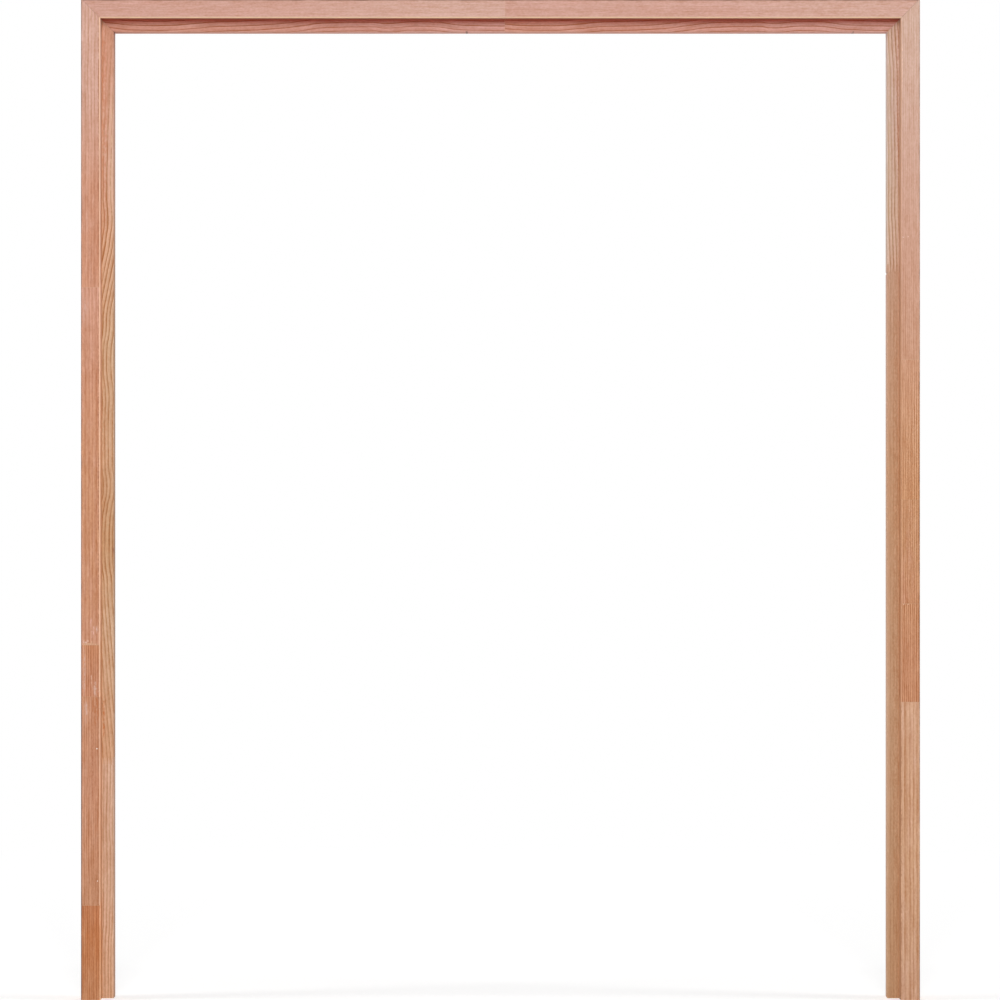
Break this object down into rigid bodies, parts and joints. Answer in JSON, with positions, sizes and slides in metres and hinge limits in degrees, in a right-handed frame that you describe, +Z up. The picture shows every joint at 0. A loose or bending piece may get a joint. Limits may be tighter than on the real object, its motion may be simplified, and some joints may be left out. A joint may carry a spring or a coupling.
{
  "type": "wooden door frame",
  "caption": "Rebated wooden door frame for a pair of leaves: finger-jointed, laminated softwood jambs and head, mitred at the top corners, open at the floor.",
  "frame": {"origin": "centre of the frame's footprint on the floor", "axes": "+Z up, +X across the width to the right as the picture shows it, front (the rebate side that the leaves close into) towards -Y"},
  "size_m": [1.75, 0.088, 2.089],
  "materials": {
    "softwood_rose": "planed and sanded, no coating",
    "softwood_pink": "planed and sanded, no coating",
    "softwood_tan": "planed and sanded, no coating",
    "softwood_beige": "planed and sanded, no coating",
    "softwood_orange_tan": "planed and sanded, no coating",
    "softwood_orange_brown": "planed and sanded, no coating",
    "softwood_red_orange": "planed and sanded, no coating",
    "softwood_red_brown": "planed and sanded, no coating",
    "beech_dowel": "pressed flutes, glued in",
    "zinc_screw": "yellow zinc",
    "wood_glue": "dried squeeze-out, scraped flush"
  },
  "bodies": {
    "root": {"left_jamb_face_block_1": "softwood_orange_brown", "left_jamb_face_block_2": "softwood_tan", "left_jamb_face_block_3": "softwood_orange_tan", "left_jamb_face_block_4": "softwood_tan", "left_jamb_face_block_5": "softwood_rose", "left_jamb_stop_block_1": "softwood_tan", "left_jamb_stop_block_2": "softwood_orange_tan", "right_jamb_face_block_1": "softwood_beige", "right_jamb_face_block_2": "softwood_red_orange", "right_jamb_face_block_3": "softwood_tan", "right_jamb_face_block_4": "softwood_orange_tan", "right_jamb_face_block_5": "softwood_pink", "right_jamb_stop_block_1": "softwood_tan", "right_jamb_stop_block_2": "softwood_beige", "head_face_block_1": "softwood_rose", "head_face_block_2": "softwood_pink", "head_stop_block_1": "softwood_red_brown", "head_stop_block_2": "softwood_red_brown", "left_corner_dowel_1": "beech_dowel", "left_corner_dowel_2": "beech_dowel", "left_corner_dowel_3": "beech_dowel", "right_corner_dowel_1": "beech_dowel", "right_corner_dowel_2": "beech_dowel", "right_corner_dowel_3": "beech_dowel", "left_face_screw": "zinc_screw", "left_stop_screw": "zinc_screw", "right_face_screw": "zinc_screw", "right_stop_screw": "zinc_screw"}
  },
  "joints": []
}
